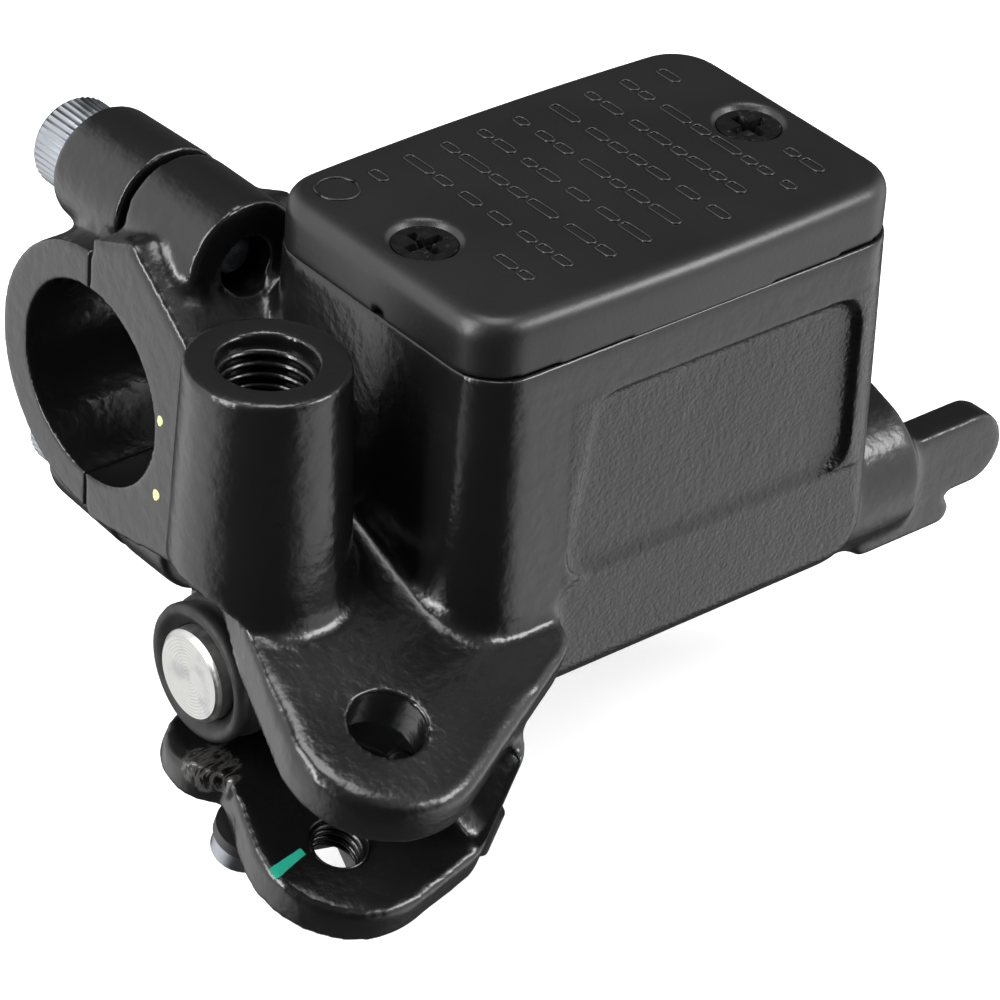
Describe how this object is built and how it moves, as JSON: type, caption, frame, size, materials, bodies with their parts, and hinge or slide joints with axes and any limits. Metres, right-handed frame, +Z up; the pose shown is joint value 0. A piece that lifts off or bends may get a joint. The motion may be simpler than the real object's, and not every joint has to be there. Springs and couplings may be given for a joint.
{
  "type": "front brake master cylinder",
  "caption": "Handlebar brake master cylinder with integral fluid reservoir, clamp, lever bracket, mirror boss and brake light switch.",
  "frame": {"origin": "centre of the handlebar clamp bore, on the bar axis midway along the clamp", "axes": "+X along the bar towards its end (rider's right), +Y forward from the bar, +Z up, square to the reservoir lid"},
  "size_m": [0.1027, 0.0818, 0.0699],
  "materials": {
    "casting_paint": "semi-gloss black paint over cast aluminium",
    "zinc_steel": "bright zinc plate",
    "lid_plastic": "satin moulded black",
    "black_steel": "black oxide",
    "rubber": "matt moulded rubber",
    "white_plastic": "natural moulded plastic",
    "spring_steel": "bright drawn steel",
    "clear_glass": "clear",
    "machined_aluminium": "turned and anodised",
    "black_plastic": "moulded nylon",
    "brass": "tinned brass"
  },
  "bodies": {
    "casting": {"master_cylinder_body": "casting_paint", "hose_boss": "casting_paint", "clamp_cap": "casting_paint", "clamp_bolts": "zinc_steel", "reservoir_lid": "lid_plastic", "lid_screws": "black_steel", "diaphragm": "rubber", "diaphragm_plate": "white_plastic", "port_protector": "spring_steel", "sight_glass": "clear_glass", "sight_glass_seal": "rubber", "sight_glass_ring": "machined_aluminium", "return_spring": "spring_steel", "piston_washer": "spring_steel", "circlip": "spring_steel", "dust_boot": "rubber", "switch_case": "black_plastic", "switch_spring": "spring_steel", "switch_terminals": "brass", "switch_screw": "zinc_steel"},
    "piston": {"piston": "machined_aluminium", "primary_cup": "rubber", "secondary_cup": "rubber", "spring_seat": "spring_steel"},
    "switch_plunger": {"switch_plunger": "black_plastic", "switch_contact": "brass"}
  },
  "joints": [
    {"name": "piston_slide", "type": "slide", "parent": "casting", "child": "piston", "axis": [-1, 0, 0], "range_m": [0, 0.012], "stiffness_N_per_m": 900, "springref_m": -0.008, "deforming": ["return_spring", "dust_boot"]},
    {"name": "switch_plunger_slide", "type": "slide", "parent": "casting", "child": "switch_plunger", "axis": [0, -0.3256, -0.9455], "range_m": [0, 0.0015], "stiffness_N_per_m": 600, "springref_m": -0.001, "deforming": ["switch_spring"]}
  ]
}
